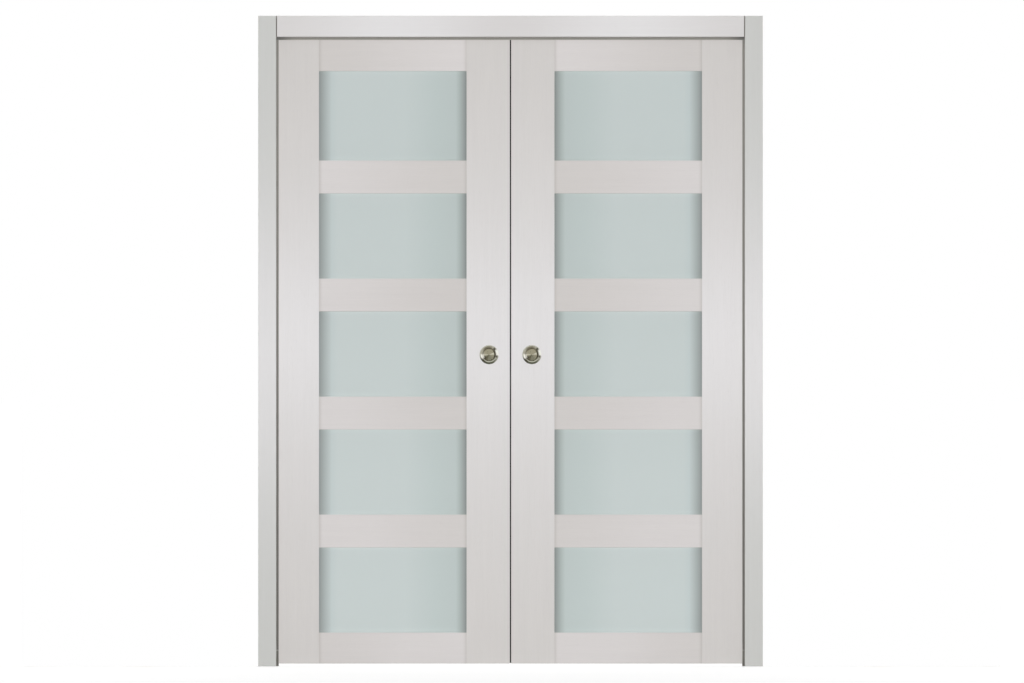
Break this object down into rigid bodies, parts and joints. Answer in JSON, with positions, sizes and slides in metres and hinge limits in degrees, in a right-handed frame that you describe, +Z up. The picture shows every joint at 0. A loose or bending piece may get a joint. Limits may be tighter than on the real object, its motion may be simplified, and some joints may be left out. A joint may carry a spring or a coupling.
{
  "type": "double pocket door",
  "caption": "Double pocket door: two glazed sliding doors that part into wall pockets, with split frame, box track, rolling hangers, flush pulls and casings on both faces.",
  "frame": {"origin": "on the floor, in the middle of the doorway and of the wall", "axes": "+X along the wall to the right, seen from the front; +Y through the wall to the back; +Z up"},
  "size_m": [3.1466, 0.1384, 2.132],
  "materials": {
    "door_veneer": "off-white veneer, fine grain, satin",
    "casing_veneer": "off-white veneer, fine grain, satin",
    "jamb_veneer": "off-white veneer, satin",
    "frosted_glass": "acid-etched, pale green",
    "satin_nickel": "warm satin nickel, spun",
    "seal_pile": "dark grey brush pile",
    "black_rubber": "matt black",
    "framing_pine": "planed pine",
    "zinc_steel": "zinc plated",
    "track_aluminium": "extruded, satin",
    "wheel_nylon": "natural nylon"
  },
  "bodies": {
    "frame": {"left_casing_front": "casing_veneer", "right_casing_front": "casing_veneer", "head_casing_front": "casing_veneer", "left_casing_back": "casing_veneer", "right_casing_back": "casing_veneer", "head_casing_back": "casing_veneer", "side_jambs": "jamb_veneer", "head_jambs": "jamb_veneer", "side_seals": "seal_pile", "head_seals": "seal_pile", "door_guides": "black_rubber", "header_board": "framing_pine", "header_nailers": "framing_pine", "header_brackets": "zinc_steel", "track": "track_aluminium", "track_screws": "zinc_steel", "centre_stop": "black_rubber", "left_split_studs": "framing_pine", "right_split_studs": "framing_pine", "stud_channels": "zinc_steel", "left_back_stud": "framing_pine", "right_back_stud": "framing_pine", "floor_brackets": "zinc_steel", "pocket_bumpers": "black_rubber"},
    "left_door": {"left_lead_stile": "door_veneer", "left_rear_stile": "door_veneer", "left_top_rail": "door_veneer", "left_mid_rails": "door_veneer", "left_bottom_rail": "door_veneer", "left_glass": "frosted_glass", "left_front_pull": "satin_nickel", "left_back_pull": "satin_nickel", "left_edge_pull": "satin_nickel", "left_hanger_plates": "zinc_steel", "left_hanger_screws": "zinc_steel", "left_hanger_bolts": "zinc_steel", "left_trolleys": "zinc_steel", "left_axles": "zinc_steel"},
    "left_axle_1": {"left_wheels_1": "wheel_nylon"},
    "left_axle_2": {"left_wheels_2": "wheel_nylon"},
    "left_axle_3": {"left_wheels_3": "wheel_nylon"},
    "left_axle_4": {"left_wheels_4": "wheel_nylon"},
    "right_door": {"right_lead_stile": "door_veneer", "right_rear_stile": "door_veneer", "right_top_rail": "door_veneer", "right_mid_rails": "door_veneer", "right_bottom_rail": "door_veneer", "right_glass": "frosted_glass", "right_front_pull": "satin_nickel", "right_back_pull": "satin_nickel", "right_edge_pull": "satin_nickel", "right_hanger_plates": "zinc_steel", "right_hanger_screws": "zinc_steel", "right_hanger_bolts": "zinc_steel", "right_trolleys": "zinc_steel", "right_axles": "zinc_steel"},
    "right_axle_1": {"right_wheels_1": "wheel_nylon"},
    "right_axle_2": {"right_wheels_2": "wheel_nylon"},
    "right_axle_3": {"right_wheels_3": "wheel_nylon"},
    "right_axle_4": {"right_wheels_4": "wheel_nylon"}
  },
  "joints": [
    {"name": "left_door_slide", "type": "slide", "parent": "frame", "child": "left_door", "axis": [-1, 0, 0], "range_m": [0, 0.75]},
    {"name": "left_wheels_1_roll", "type": "hinge", "parent": "left_door", "child": "left_axle_1", "pos_m": [-0.0571, 0, 2.0718], "axis": [0, -1, 0], "range_deg": [0, 3907]},
    {"name": "left_wheels_2_roll", "type": "hinge", "parent": "left_door", "child": "left_axle_2", "pos_m": [-0.0971, 0, 2.0718], "axis": [0, -1, 0], "range_deg": [0, 3907]},
    {"name": "left_wheels_3_roll", "type": "hinge", "parent": "left_door", "child": "left_axle_3", "pos_m": [-0.6691, 0, 2.0718], "axis": [0, -1, 0], "range_deg": [0, 3907]},
    {"name": "left_wheels_4_roll", "type": "hinge", "parent": "left_door", "child": "left_axle_4", "pos_m": [-0.7091, 0, 2.0718], "axis": [0, -1, 0], "range_deg": [0, 3907]},
    {"name": "right_door_slide", "type": "slide", "parent": "frame", "child": "right_door", "axis": [1, 0, 0], "range_m": [0, 0.75]},
    {"name": "right_wheels_1_roll", "type": "hinge", "parent": "right_door", "child": "right_axle_1", "pos_m": [0.0571, 0, 2.0718], "axis": [0, 1, 0], "range_deg": [0, 3907]},
    {"name": "right_wheels_2_roll", "type": "hinge", "parent": "right_door", "child": "right_axle_2", "pos_m": [0.0971, 0, 2.0718], "axis": [0, 1, 0], "range_deg": [0, 3907]},
    {"name": "right_wheels_3_roll", "type": "hinge", "parent": "right_door", "child": "right_axle_3", "pos_m": [0.6691, 0, 2.0718], "axis": [0, 1, 0], "range_deg": [0, 3907]},
    {"name": "right_wheels_4_roll", "type": "hinge", "parent": "right_door", "child": "right_axle_4", "pos_m": [0.7091, 0, 2.0718], "axis": [0, 1, 0], "range_deg": [0, 3907]}
  ],
  "couplings": [
    {"joint": "left_wheels_1_roll", "follows": "left_door_slide", "rad_per_m": 90.909},
    {"joint": "left_wheels_2_roll", "follows": "left_door_slide", "rad_per_m": 90.909},
    {"joint": "left_wheels_3_roll", "follows": "left_door_slide", "rad_per_m": 90.909},
    {"joint": "left_wheels_4_roll", "follows": "left_door_slide", "rad_per_m": 90.909},
    {"joint": "right_wheels_1_roll", "follows": "right_door_slide", "rad_per_m": 90.909},
    {"joint": "right_wheels_2_roll", "follows": "right_door_slide", "rad_per_m": 90.909},
    {"joint": "right_wheels_3_roll", "follows": "right_door_slide", "rad_per_m": 90.909},
    {"joint": "right_wheels_4_roll", "follows": "right_door_slide", "rad_per_m": 90.909}
  ]
}
